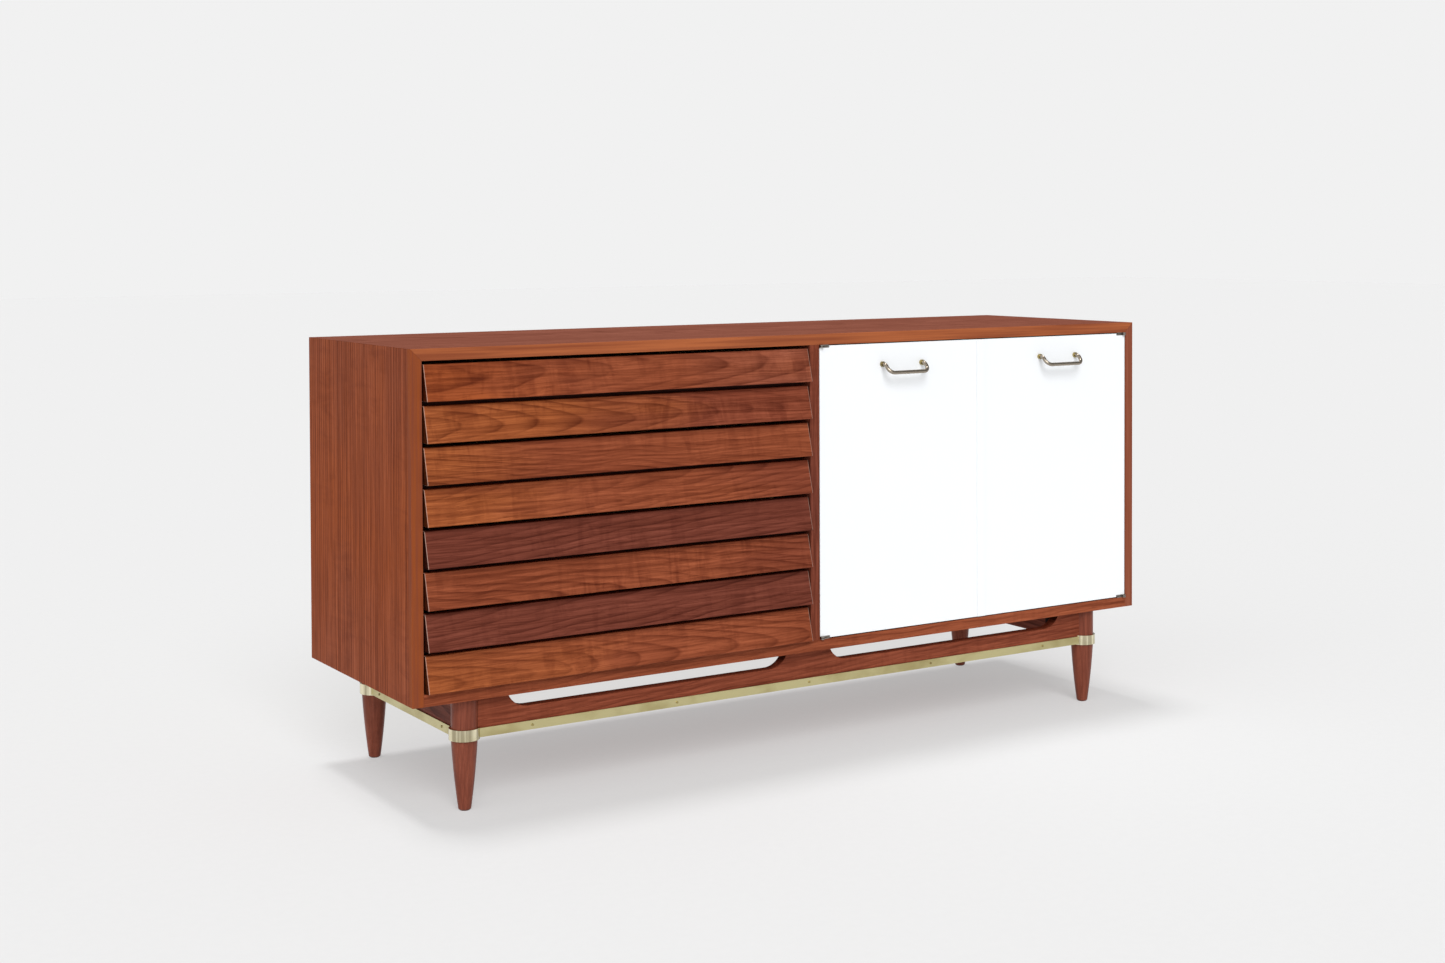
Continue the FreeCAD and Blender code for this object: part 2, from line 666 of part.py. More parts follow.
def make_leg(label, x, y):
    """A turned leg: straight beside the rails, then a full-bellied taper to a rounded foot."""
    body = new_body()
    sketch = new_sketch(body, "XZ_Plane")
    taper_top = value("leg_height - leg_straight")
    top, radius = value("leg_height"), value("leg_radius")
    foot, foot_round = value("foot_radius"), value("foot_round")
    belly = Vector(value("leg_belly"), taper_top / 2, 0)
    axis_top, rim = Vector(0, top, 0), Vector(radius, top, 0)
    shoulder, ankle = Vector(radius, taper_top, 0), Vector(foot, foot_round, 0)
    sole, axis_foot = Vector(foot - foot_round, 0, 0), Vector(0, 0, 0)
    edges = [
        Part.LineSegment(axis_foot, axis_top), Part.LineSegment(axis_top, rim),
        Part.LineSegment(rim, shoulder), Part.Arc(shoulder, belly, ankle),
        Part.LineSegment(ankle, sole), Part.LineSegment(sole, axis_foot),
    ]
    lines = [sketch.addGeometry(edge, False) for edge in edges]
    fix_point(sketch, lines[0], 2, "0", "leg_height")
    fix_point(sketch, lines[1], 2, "leg_radius", "leg_height")
    fix_point(sketch, lines[2], 2, "leg_radius", "leg_height - leg_straight")
    fix_point(sketch, lines[4], 1, "foot_radius", "foot_round")
    fix_point(sketch, lines[5], 1, "foot_radius - foot_round", "0")
    turning = body.newObject("PartDesign::Revolution", "turning")
    turning.Profile = sketch
    turning.ReferenceAxis = (sketch, ["V_Axis"])
    turning.Angle = 360
    place(body, (x, y, "0"))
    publish(body, label)


def leg_spaces():
    """The upper parts of the legs, which the rails fit round."""
    spaces = []
    for x, y in leg_centres().values():
        spaces.append(rod("leg_radius", "rail_height", (x, y, RAIL_FOOT)))
    return group(spaces)


def cutout_sketch(body, start, end):
    """A long shallow space under the case, with a curve rising at each end."""
    sketch = new_sketch(body, "XZ_Plane")
    low = "-cutout_depth"
    radius = "(cutout_curve * cutout_curve + cutout_depth * cutout_depth) / (2 * cutout_depth)"
    floor_start, floor_end = f"{start} + cutout_curve", f"{end} - cutout_curve"
    size, depth = value(radius), value("cutout_depth")
    places = ((start, "0"), (floor_start, low), (floor_end, low), (end, "0"))
    corners = [Vector(value(x), value(y), 0) for x, y in places]
    middles = []
    for foot, sideways in ((corners[1], -1), (corners[2], 1)):
        run = value("cutout_curve") / 2
        rise = size - (size * size - run * run) ** 0.5
        middles.append(Vector(foot.x + sideways * run, rise - depth, 0))
    edges = [
        sketch.addGeometry(Part.Arc(corners[0], middles[0], corners[1]), False),
        sketch.addGeometry(Part.LineSegment(corners[1], corners[2]), False),
        sketch.addGeometry(Part.Arc(corners[2], middles[1], corners[3]), False),
        sketch.addGeometry(Part.LineSegment(corners[3], corners[0]), False),
    ]
    fix_point(sketch, edges[1], 1, floor_start, low)
    fix_point(sketch, edges[1], 2, floor_end, low)
    fix_point(sketch, edges[3], 1, end, "0")
    fix_point(sketch, edges[3], 2, start, "0")
    return sketch


def make_rails():
    """Four rails between the legs; the front one is scalloped under the case."""
    legs = leg_spaces()
    section = [
        ("-leg_place", "-rail_height"), ("leg_place", "-rail_height"),
        ("leg_place", "0"), ("-leg_place", "0"),
    ]
    front = profile_along_depth(section, "rail_board", ("0", RAIL_FRONT, "leg_height"))
    for start, end in (("-cutout_outer", "-cutout_inner"), ("cutout_inner", "cutout_outer")):
        pocket(front, cutout_sketch(front, start, end), "rail_board")
    publish(cut(front, legs), "front_rail")
    back_size = ("2 * leg_place", "rail_board", "rail_height")
    back = box(back_size, ("-leg_place", BACK_RAIL_FRONT, RAIL_FOOT))
    publish(cut(back, legs), "back_rail")
    for name, x in zip(("left_rail", "right_rail"), SIDE_RAIL_STARTS):
        rail = box(("rail_board", LEG_SPAN, "rail_height"), (x, f"{FRONT} + leg_setback", RAIL_FOOT))
        publish(cut(rail, legs), name)


def rail_feet():
    """The space that the four rails take where the bands pass them."""
    long_size = ("2 * leg_place", "rail_board", "band_height")
    short_size = ("rail_board", LEG_SPAN, "band_height")
    feet = []
    for depth in (RAIL_FRONT, BACK_RAIL_FRONT):
        feet.append(box(long_size, ("-leg_place", depth, RAIL_FOOT)))
    for x in SIDE_RAIL_STARTS:
        feet.append(box(short_size, (x, f"{FRONT} + leg_setback", RAIL_FOOT)))
    return group(feet)


def discs(radius):
    """A disc of the given radius on each leg, at the level of the bands."""
    return [rod(radius, "band_height", (x, y, BAND_FOOT)) for x, y in leg_centres().values()]


def make_bands():
    """A brass band round each leg, stopping where the rails meet the leg."""
    rails = rail_feet()
    bands = [cut(cut(disc, leg), rails) for disc, leg in zip(discs(BAND_RADIUS), discs("leg_radius"))]
    publish(group(bands), "leg_bands")


def make_straps():
    """Brass along the foot of the front and side rails."""
    band_spaces = group(discs(BAND_RADIUS))
    front_size = ("2 * leg_place", "strap_board", "strap_height")
    front_corner = ("-leg_place", f"{RAIL_FRONT} - strap_board", RAIL_FOOT)
    publish(cut(box(front_size, front_corner), band_spaces), "front_strap")
    side_size = ("strap_board", LEG_SPAN, "strap_height")
    sides = []
    for x in ("-leg_place - rail_ahead - strap_board", "leg_place + rail_ahead"):
        strap = box(side_size, (x, f"{FRONT} + leg_setback", RAIL_FOOT))
        sides.append(cut(strap, band_spaces))
    publish(group(sides), "side_straps")


def make_nails():
    """Brass nail heads along the front strap, and one near each end of the side straps."""
    level = f"{RAIL_FOOT} + strap_height / 2"
    nails = []
    face = f"{RAIL_FRONT} - strap_board"
    for number in FIVE_ABOUT_MIDDLE:
        centre = (f"({number}) * nail_spread", face, level)
        nails.append(rod("nail_radius", "nail_height", centre, -BACKWARDS))
    outer = "(leg_place + rail_ahead + strap_board)"
    for depth in (f"{FRONT} + leg_setback + nail_side_inset", f"{BACK} - leg_setback - nail_side_inset"):
        nails.append(rod("nail_radius", "nail_height", (f"-{outer}", depth, level), Vector(-1, 0, 0)))
        nails.append(rod("nail_radius", "nail_height", (outer, depth, level), Vector(1, 0, 0)))
    publish(group(nails), "strap_nails")


def make_blocks():
    """Blocks behind the front and back rails, each screwed up into the bottom panel."""
    blocks, screws = [], []
    inner_front = f"{RAIL_FRONT} + rail_board"
    inner_back = f"{BACK_RAIL_FRONT} - block_side"
    for depth in (inner_front, inner_back):
        for number in (-1, 0, 1):
            middle = f"({number}) * block_spread"
            corner = (f"{middle} - block_length / 2", depth, "leg_height - block_side")
            blocks.append(box(("block_length", "block_side", "block_side"), corner))
            depth_middle = f"{depth} + block_side / 2"
            block_foot = "leg_height - block_side"
            shank = rod("screw_radius", "block_side + screw_bite", (middle, depth_middle, block_foot))
            head_foot = f"{block_foot} - screw_head_height"
            head = rod("screw_head", "screw_head_height", (middle, depth_middle, head_foot))
            screws.append(fused([shank, head]))
    screw_group = publish(group(screws), "base_screws")
    publish(cut(group(blocks), screw_group), "base_blocks")
    return screw_group


def build():
    fill_sheet()
    rabbet_space = back_rabbet()
    screws = make_blocks()
    make_top(rabbet_space)
    make_sides(rabbet_space)
    make_bottom(rabbet_space, screws)
    make_divider()
    publish(back_rabbet(), "back_panel")
    make_shelf()
    for drawer in range(int(value("drawer_count"))):
        make_drawer(drawer)
    make_runners()
    make_doors()
    make_hinges()
    make_catches()
    for name, (x, y) in leg_centres().items():
        make_leg(f"{name}_leg", x, y)
    make_rails()
    make_bands()
    make_straps()
    make_nails()
    document.recompute()


def check_document():
    """Stop if any object failed, or if a piece has no sound shape."""
    for item in document.Objects:
        if "Invalid" in item.State or "Error" in item.State:
            raise ValueError(f"{item.Name} ({item.Label}) did not compute: {item.State}")
    for item in parts:
        if item.Shape.isNull() or not item.Shape.isValid():
            raise ValueError(f"{item.Label} has no valid shape")


def export_parts():
    os.makedirs("parts", exist_ok=True)
    for item in parts:
        item.Shape.exportStep(f"parts/{item.Label}.step")


build()
check_document()
export_parts()
print(f"{len(parts)} pieces written")
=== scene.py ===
import json
import math

import bmesh
import bpy
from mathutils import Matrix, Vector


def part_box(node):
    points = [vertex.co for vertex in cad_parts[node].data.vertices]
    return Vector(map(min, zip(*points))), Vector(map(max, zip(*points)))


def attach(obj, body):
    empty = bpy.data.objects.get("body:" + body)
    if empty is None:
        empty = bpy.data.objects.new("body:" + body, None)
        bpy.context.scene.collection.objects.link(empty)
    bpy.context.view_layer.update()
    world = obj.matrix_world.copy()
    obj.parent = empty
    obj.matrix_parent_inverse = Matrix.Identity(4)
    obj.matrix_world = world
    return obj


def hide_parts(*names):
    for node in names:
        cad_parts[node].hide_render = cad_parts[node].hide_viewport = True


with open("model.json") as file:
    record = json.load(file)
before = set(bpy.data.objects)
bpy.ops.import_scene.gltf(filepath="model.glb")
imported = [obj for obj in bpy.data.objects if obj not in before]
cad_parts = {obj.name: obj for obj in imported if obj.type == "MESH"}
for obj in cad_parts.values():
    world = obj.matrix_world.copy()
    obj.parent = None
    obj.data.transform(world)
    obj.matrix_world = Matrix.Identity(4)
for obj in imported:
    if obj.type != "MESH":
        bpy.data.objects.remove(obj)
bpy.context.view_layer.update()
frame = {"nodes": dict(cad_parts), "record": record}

# The camera of the view: place in metres, direction in degrees, and the lens, whose shift is
# measured in picture widths.
CAMERA_PLACE = (-2.1461, -3.2804, 1.0042)
CAMERA_YAW = 32.387
CAMERA_PITCH = -1.323
CAMERA_ROLL = -0.216
LENS_MILLIMETRES = 48.2101
LENS_SHIFT = -0.139446
SENSOR_MILLIMETRES = 36.0

# Lengths in metres: how far sharp edges are eased, the depth of the solid wood along the front
# of the sides, and how far the floor reaches.
EDGE_RADIUS = 0.0008
SLAT_EDGE_RADIUS = 0.0016
SOLID_EDGING = 0.014
FLOOR_REACH = 30.0

# The surroundings give an even light, and a stronger one from a softbox at the front left. Its
# edge is the nearness to its direction, as a cosine, where its light starts and where it is full.
PAPER_GLOW = 0.40
ROOM_GLOW = 0.31
SOFTBOX_GLOW = 1.3
SOFTBOX_DIRECTION = (-0.74, -0.58, 0.34)
SOFTBOX_EDGE = (0.62, 0.88)
BACKDROP = (241, 241, 241)

# The figure of the wood. FIGURE_LIFT makes up for what the figure takes from a board's tone. A
# shade is what is left of each colour in a patch, a streak, a ring line or a board's end, whose darkness
# there is partly end grain and partly painted shade.
FIGURE_LIFT = 1.44
PATCH_SHADE = (0.62, 0.52, 0.52, 1.0)
STREAK_SHADE = (0.60, 0.52, 0.48, 1.0)
RING_SHADE = (0.42, 0.31, 0.28, 1.0)
# Partly the darker end grain and partly painted shade on the end faces.
END_GRAIN_AND_PAINTED_SHADE = (0.22, 0.18, 0.16, 1.0)
# A paler colour mixed in along the arris towards a board's end: a painted highlight.
PAINTED_ARRIS_HIGHLIGHT = (0.62, 0.44, 0.36, 1.0)

# How fine each layer of the figure is, along the grain and across it both ways.
SWIRL_GRAIN = (5, 13, 13)
PATCH_GRAIN = (3, 12, 12)
FLAME_GRAIN = (34, 9, 9)
STREAK_GRAIN = (0.8, 120, 120)
FIBRE_GRAIN = (5, 330, 330)
PORE_GRAIN = (55, 1400, 1400)
RING_FAINTNESS_GRAIN = (2.2, 30, 30)

DRAWERS = ("drawer_1", "drawer_2", "drawer_3", "drawer_4")

# How the place on a board is turned, so that its grain runs along X in every material.
GRAIN_ALONG = {"X": (0, 0, 0), "Y": (0, 0, -math.pi / 2), "Z": (0, math.pi / 2, 0)}


def srgb(red, green, blue):
    """A colour on the 0 to 255 screen scale as linear light."""
    def linear(channel):
        level = channel / 255
        return level / 12.92 if level <= 0.04045 else ((level + 0.055) / 1.055) ** 2.4
    return linear(red), linear(green), linear(blue), 1.0


# Shader building blocks

class Shader:
    """A material with a principled shader, and short calls that add nodes to it."""

    def __init__(self, name, roughness, metallic=0.0, specular=0.5):
        self.material = bpy.data.materials.new(name)
        self.material.use_nodes = True
        self.tree = self.material.node_tree
        self.surface = self.tree.nodes["Principled BSDF"]
        settings = {"Roughness": roughness, "Metallic": metallic, "Specular IOR Level": specular}
        for socket, amount in settings.items():
            self.surface.inputs[socket].default_value = amount
        coordinates = self.add("ShaderNodeTexCoord")
        self.place = coordinates.outputs["Object"]
        self.facing = coordinates.outputs["Normal"]

    def add(self, kind, **properties):
        node = self.tree.nodes.new(kind)
        for name, setting in properties.items():
            setattr(node, name, setting)
        return node

    def feed(self, socket, source):
        """Link a source to a socket, or set it if the source is a plain value."""
        if isinstance(source, bpy.types.NodeSocket):
            self.tree.links.new(source, socket)
        else:
            socket.default_value = source

    def mapped(self, vector, scale=(1, 1, 1), rotation=(0, 0, 0), shift=(0, 0, 0)):
        """The vector scaled, turned and shifted."""
        node = self.add("ShaderNodeMapping")
        self.feed(node.inputs["Vector"], vector)
        node.inputs["Scale"].default_value = scale
        node.inputs["Rotation"].default_value = rotation
        node.inputs["Location"].default_value = shift
        return node.outputs["Vector"]

    def noise(self, vector, detail=3.0, roughness=0.5, distortion=0.0):
        """Soft random values around 0.5, as fine as the vector is scaled."""
        node = self.add("ShaderNodeTexNoise")
        self.feed(node.inputs["Vector"], vector)
        settings = {"Scale": 1.0, "Detail": detail, "Roughness": roughness, "Distortion": distortion}
        for socket, amount in settings.items():
            node.inputs[socket].default_value = amount
        return node.outputs["Fac"]

    def math(self, operation, first, second=0.0, third=0.0):
        node = self.add("ShaderNodeMath", operation=operation)
        for socket, source in zip(node.inputs, (first, second, third)):
            self.feed(socket, source)
        return node.outputs["Value"]

    def axis(self, vector, letter):
        """One coordinate of a vector."""
        node = self.add("ShaderNodeSeparateXYZ")
        self.feed(node.inputs["Vector"], vector)
        return node.outputs[letter]

    def swirled(self, vector, amount, seed):
        """The vector pushed sideways by a slow noise, so that a texture on it curls."""
        slow = self.add("ShaderNodeTexNoise")
        place = self.mapped(vector, SWIRL_GRAIN, shift=(seed * 3.1, seed * 0.7, 0))
        self.feed(slow.inputs["Vector"], place)
        slow.inputs["Scale"].default_value = 1.0
        push = self.add("ShaderNodeVectorMath", operation="MULTIPLY_ADD")
        for socket, source in zip(push.inputs, (slow.outputs["Color"], (0, amount, amount), vector)):
            self.feed(socket, source)
        return push.outputs["Vector"]

    def spread(self, source, low, high, new_low=0.0, new_high=1.0):
        """The source's range low to high stretched over a new range, and clipped to it."""
        node = self.add("ShaderNodeMapRange")
        for socket, amount in zip(node.inputs, (source, low, high, new_low, new_high)):
            self.feed(socket, amount)
        return node.outputs["Result"]

    def mix(self, amount, first, second):
        return self.blend("MIX", amount, first, second)

    def shaded(self, amount, colour, shade):
        """The colour multiplied by a shade, as far as the amount says."""
        return self.blend("MULTIPLY", amount, colour, shade)

    def blend(self, kind, amount, first, second):
        node = self.add("ShaderNodeMix", data_type="RGBA", blend_type=kind)
        colours = [socket for socket in node.inputs if socket.type == "RGBA"]
        self.feed(node.inputs["Factor"], amount)
        self.feed(colours[0], first)
        self.feed(colours[1], second)
        return next(socket for socket in node.outputs if socket.type == "RGBA")

    def ramp(self, source, colours):
        """The colours evenly spaced over the source's range of 0 to 1, running smoothly into each other."""
        node = self.add("ShaderNodeValToRGB")
        self.feed(node.inputs["Fac"], source)
        stops = node.color_ramp.elements
        while len(stops) < len(colours):
            stops.new(1.0)
        for number, (stop, colour) in enumerate(zip(stops, colours)):
            stop.position = number / (len(colours) - 1)
            stop.color = colour
        return node.outputs["Color"]

    def bump(self, height, strength, distance):
        """Raise and lower the surface's shading by a height. The distance is in metres."""
        node = self.add("ShaderNodeBump")
        self.feed(node.inputs["Height"], height)
        node.inputs["Strength"].default_value = strength
        node.inputs["Distance"].default_value = distance
        self.feed(self.surface.inputs["Normal"], node.outputs["Normal"])

    def colour(self, source):
        self.feed(self.surface.inputs["Base Color"], source)

    def rough(self, source):
        self.feed(self.surface.inputs["Roughness"], source)


# Materials

def lifted(tone):
    """A board's colour before its figure is laid over it, which darkens it again."""
    return tuple(channel * FIGURE_LIFT for channel in srgb(*tone)[:3]) + (1.0,)


def ring_lines(shader, wood, pith, rings, taper):
    """Thin late wood lines around the pith of the log, closing into arches along the board."""
    across = shader.mapped(wood, (0, 1, 1), shift=(0, -pith[0], -pith[1]))
    radius = shader.add("ShaderNodeVectorMath", operation="LENGTH")
    shader.feed(radius.inputs[0], across)
    grown = shader.math("MULTIPLY_ADD", shader.axis(wood, "X"), taper, radius.outputs["Value"])
    year = shader.math("FRACT", shader.math("MULTIPLY", grown, rings))
    late_wood = shader.math("POWER", shader.spread(year, 0.1, 0.9), 2.5)
    line = shader.math("MULTIPLY", late_wood, shader.spread(year, 1.0, 0.9))
    faint = shader.noise(shader.mapped(wood, RING_FAINTNESS_GRAIN), detail=2.0)
    return shader.math("MULTIPLY", line, shader.spread(faint, 0.35, 0.6, 0.15, 1.0))


def board_tone(shader, straight, patch, tones, reach):
    """The tones run from one end of the reach to the other, wavering a little with the patches."""
    position = shader.spread(shader.axis(straight, "X"), *reach)
    position = shader.math("ADD", position, shader.spread(patch, 0.3, 0.7, -0.16, 0.16))
    return shader.ramp(position, [lifted(tone) for tone in tones])


def painted_arris_highlight(shader, end_facing, arris_highlight, colour):
    """Painted highlight: paler wood where the surface turns from the long side of a board towards its end.
    """
    arris = shader.math("MULTIPLY", shader.spread(end_facing, 0.1, 0.3), shader.spread(end_facing, 0.75, 0.5))
    return shader.mix(shader.math("MULTIPLY", arris, arris_highlight), colour, PAINTED_ARRIS_HIGHLIGHT)


def walnut(name, tones, grain="X", reach=(-0.82, 0.82), pith=(-0.26, 0.5), rings=110.0, taper=0.09,
           swirl=0.017, ring_depth=0.8, streak_depth=0.8, mottle=0.5, arris_highlight=0.0, specular=0.06,
           roughness=0.45, seed=0.0):
    """Walnut with patches, cross flames, streak lines, fibres, ring lines and pores; its ends are darkened
    partly as end grain and partly as painted shade, and a painted highlight as strong as asked runs on the
    arris towards them.
    """
    shader = Shader(name, roughness=roughness, specular=specular)
    straight = shader.mapped(shader.place, rotation=GRAIN_ALONG[grain])
    wood = shader.swirled(straight, swirl, seed)
    moved = shader.mapped(wood, shift=(seed * 1.7, seed * 0.37, seed * 0.53))
    patch = shader.noise(shader.mapped(moved, PATCH_GRAIN))
    flame = shader.noise(shader.mapped(moved, FLAME_GRAIN), roughness=0.6, distortion=0.8)
    streak = shader.noise(shader.mapped(moved, STREAK_GRAIN), detail=5.0, roughness=0.7)
    fibre = shader.noise(shader.mapped(moved, FIBRE_GRAIN), detail=4.0, roughness=0.65)
    pore = shader.noise(shader.mapped(moved, PORE_GRAIN), detail=1.0)
    curled = shader.math("MULTIPLY", shader.spread(flame, 0.46, 0.62), shader.spread(patch, 0.62, 0.42))
    turned = shader.mapped(shader.facing, rotation=GRAIN_ALONG[grain])
    end_facing = shader.math("ABSOLUTE", shader.axis(turned, "X"))
    layers = (
        (shader.spread(patch, 0.45, 0.72), mottle, PATCH_SHADE),
        (curled, mottle, PATCH_SHADE),
        (shader.spread(streak, 0.40, 0.62), streak_depth, STREAK_SHADE),
        (shader.spread(fibre, 0.40, 0.64), streak_depth, STREAK_SHADE),
        (ring_lines(shader, wood, pith, rings, taper), ring_depth, RING_SHADE),
        (shader.spread(pore, 0.62, 0.72), 0.5, RING_SHADE),
        # Each board's ends are darkened: partly end grain, partly painted shade on the end faces.
        (shader.spread(end_facing, 0.6, 0.8), 1.0, END_GRAIN_AND_PAINTED_SHADE),
    )
    colour = board_tone(shader, straight, patch, tones, reach)
    for amount, depth, shade in layers:
        colour = shader.shaded(shader.math("MULTIPLY", amount, depth), colour, shade)
    shader.colour(painted_arris_highlight(shader, end_facing, arris_highlight, colour))
    shader.rough(shader.spread(fibre, 0.2, 0.8, roughness - 0.06, roughness + 0.1))
    shader.bump(shader.math("MULTIPLY_ADD", pore, -0.6, fibre), 0.1, 0.0004)
    return shader


def solid_edging(shader, light, dark, grain, strip_back):
    """A strip of solid wood along the front of a veneered board, as far back as strip_back in Y."""
    edge = shader.math("LESS_THAN", shader.axis(shader.place, "Y"), strip_back)
    veneer = shader.surface.inputs["Base Color"].links[0].from_socket
    along = shader.mapped(shader.place, rotation=GRAIN_ALONG[grain])
    fibre = shader.noise(shader.mapped(along, (4, 170, 170)), detail=3.0)
    strip = shader.mix(shader.spread(fibre, 0.35, 0.65), srgb(*light), srgb(*dark))
    shader.colour(shader.mix(edge, veneer, strip))


def pale_wood(name, light, dark, grain, seed, clouding=0.4):
    """Plain drawer wood or thin plywood: fine fibres, and broad clouds of a darker tone."""
    shader = Shader(name, roughness=0.55)
    along = shader.mapped(shader.place, rotation=GRAIN_ALONG[grain], shift=(seed, seed * 0.3, 0))
    fibre = shader.noise(shader.mapped(along, (3, 180, 180)), detail=4.0, roughness=0.6)
    broad = shader.noise(shader.mapped(along, (1.2, 16, 16)), detail=2.0)
    blend = shader.math("MULTIPLY_ADD", fibre, 0.6, shader.math("MULTIPLY", broad, clouding))
    shader.colour(shader.mix(shader.spread(blend, 0.3, 0.7), srgb(*light), srgb(*dark)))
    shader.rough(shader.spread(fibre, 0.2, 0.8, 0.5, 0.65))
    shader.bump(fibre, 0.12, 0.0004)
    return shader.material


def white_lacquer():
    """Sprayed lacquer: a faint orange peel and the slightest unevenness of white."""
    shader = Shader("white_lacquer", roughness=0.32, specular=0.3)
    peel = shader.noise(shader.mapped(shader.place, (420, 420, 420)), detail=2.0)
    haze = shader.noise(shader.mapped(shader.place, (4, 4, 4)), detail=2.0)
    shader.colour(shader.mix(haze, srgb(*COOL_WHITE), srgb(*WARM_WHITE)))
    shader.rough(shader.spread(haze, 0.3, 0.7, 0.29, 0.35))
    shader.bump(peel, 0.03, 0.0003)
    return shader.material


def brass(name, bright, dull, roughness, reflection_stripes=0.0):
    """Brushed brass, a little dulled in places. Darker lines up a turned band are a painted reflection."""
    shader = Shader(name, roughness=roughness, metallic=1.0)
    brushing = shader.noise(shader.mapped(shader.place, (30, 30, 1100)), detail=3.0)
    tarnish = shader.noise(shader.mapped(shader.place, (12, 12, 18)), detail=3.0, roughness=0.5)
    tone = shader.mix(shader.spread(tarnish, 0.45, 0.8), srgb(*bright), srgb(*dull))
    # Painted reflection: darker vertical lines around a turned band, standing in for its changing
    # reflection.
    streak = shader.noise(shader.mapped(shader.place, (170, 170, 3)), detail=2.0)
    shader.colour(shader.mix(shader.spread(streak, 0.42, 0.62, 0.0, reflection_stripes), tone, srgb(*DARK_BRASS)))
    wear = shader.spread(tarnish, 0.4, 0.8, roughness, roughness + 0.12)
    shader.rough(shader.math("ADD", wear, shader.spread(brushing, 0, 1, 0, 0.05)))
    shader.bump(brushing, 0.05, 0.0002)
    return shader.material


def nickel():
    """Plated wire, with the plating rubbed thin in places."""
    shader = Shader("nickel", roughness=0.22, metallic=1.0)
    wear = shader.noise(shader.mapped(shader.place, (110, 110, 110)), detail=4.0, roughness=0.6)
    shader.colour(shader.mix(shader.spread(wear, 0.55, 0.75), srgb(*NICKEL), srgb(*WORN_NICKEL)))
    shader.rough(shader.spread(wear, 0.3, 0.8, 0.18, 0.36))
    shader.bump(wear, 0.06, 0.0002)
    return shader.material


def steel():
    """Plain steel hardware with fine scratches."""
    shader = Shader("steel", roughness=0.35, metallic=1.0)
    scratch = shader.noise(shader.mapped(shader.place, (900, 60, 60)), detail=4.0)
    shader.colour(shader.mix(scratch, srgb(*DARK_STEEL), srgb(*BRIGHT_STEEL)))
    shader.rough(shader.spread(scratch, 0.2, 0.8, 0.28, 0.45))
    shader.bump(scratch, 0.06, 0.0002)
    return shader.material


def studio_paper():
    """The pale seamless floor, which glows a little so that the shadows on it stay light."""
    shader = Shader("studio_paper", roughness=0.9, specular=0.0)
    tooth = shader.noise(shader.mapped(shader.place, (60, 60, 60)), detail=3.0)
    shader.colour(shader.mix(tooth, srgb(*GREY_PAPER), srgb(*PALE_PAPER)))
    shader.bump(tooth, 0.02, 0.0005)
    shader.surface.inputs["Emission Color"].default_value = (1, 1, 1, 1)
    shader.surface.inputs["Emission Strength"].default_value = PAPER_GLOW
    return shader.material


# Dressing the CAD nodes

def dress(node, material):
    """Give every material slot of a CAD node this material."""
    for slot in frame["nodes"][node].material_slots:
        slot.material = material


def body_of_node(node):
    bodies = frame["record"]["behaviour"]["bodies"]
    return next(body for body, nodes in bodies.items() if node in nodes)


def ease_edges(node, radius=EDGE_RADIUS):
    """Stand a copy of a flat-faced board in the node's place, with its sharp edges taken off."""
    source = frame["nodes"][node]
    shape = bmesh.new()
    shape.from_mesh(source.data)
    bmesh.ops.remove_doubles(shape, verts=shape.verts, dist=0.000001)
    bmesh.ops.dissolve_limit(shape, angle_limit=math.radians(0.3), verts=shape.verts, edges=shape.edges)
    shape.verts.index_update()
    corners = [vertex.co.copy() for vertex in shape.verts]
    faces = [[vertex.index for vertex in face.verts] for face in shape.faces]
    shape.free()
    mesh = bpy.data.meshes.new(f"{node}_eased")
    mesh.from_pydata(corners, [], faces)
    mesh.materials.append(source.material_slots[0].material)
    piece = bpy.data.objects.new(f"{node}_eased", mesh)
    bpy.context.collection.objects.link(piece)
    bevel = piece.modifiers.new("eased_edges", "BEVEL")
    bevel.width = radius
    bevel.segments = 2
    bevel.limit_method = "ANGLE"
    bevel.angle_limit = math.radians(50)
    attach(piece, body_of_node(node))
    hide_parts(node)


# Colours on the 0 to 255 screen scale, walnut first.
ORANGE = (143, 73, 38)
GOLDEN = (149, 83, 46)
CHESTNUT = (138, 74, 48)
ROSY = (142, 82, 61)
RUSSET = (126, 66, 46)
PLUM = (111, 59, 46)
UMBER = (112, 60, 46)
LEG_BROWN = (116, 62, 46)
AMBER = (172, 98, 60)
# The top's tone is its wood colour with the pale sheen seen on it at a low angle painted in.
TOP_TONE_WITH_PAINTED_SHEEN = (124, 76, 62)
# Near black: painted shade on parts that sit in shadow, the drawer box fronts behind the louvres, the back
# rail and the base blocks.
PAINTED_SHADE_BROWN = (58, 30, 24)

PALE_BRASS = (200, 190, 142)
BRIGHT_BRASS = (236, 228, 196)
DULL_BRASS = (168, 152, 102)
DARK_BRASS = (110, 94, 62)
NICKEL = (158, 148, 134)
WORN_NICKEL = (108, 88, 62)
DARK_STEEL = (118, 112, 106)
BRIGHT_STEEL = (158, 150, 142)

COOL_WHITE = (241, 244, 247)
WARM_WHITE = (243, 245, 247)
GREY_PAPER = (164, 164, 164)
PALE_PAPER = (168, 168, 168)

# Drawer woods, each with its light and dark tone.
END_BOARDS = ((214, 184, 140), (188, 152, 106))
SIDE_BOARDS = ((216, 188, 146), (192, 158, 112))
PLYWOOD = ((206, 172, 126), (178, 142, 98))

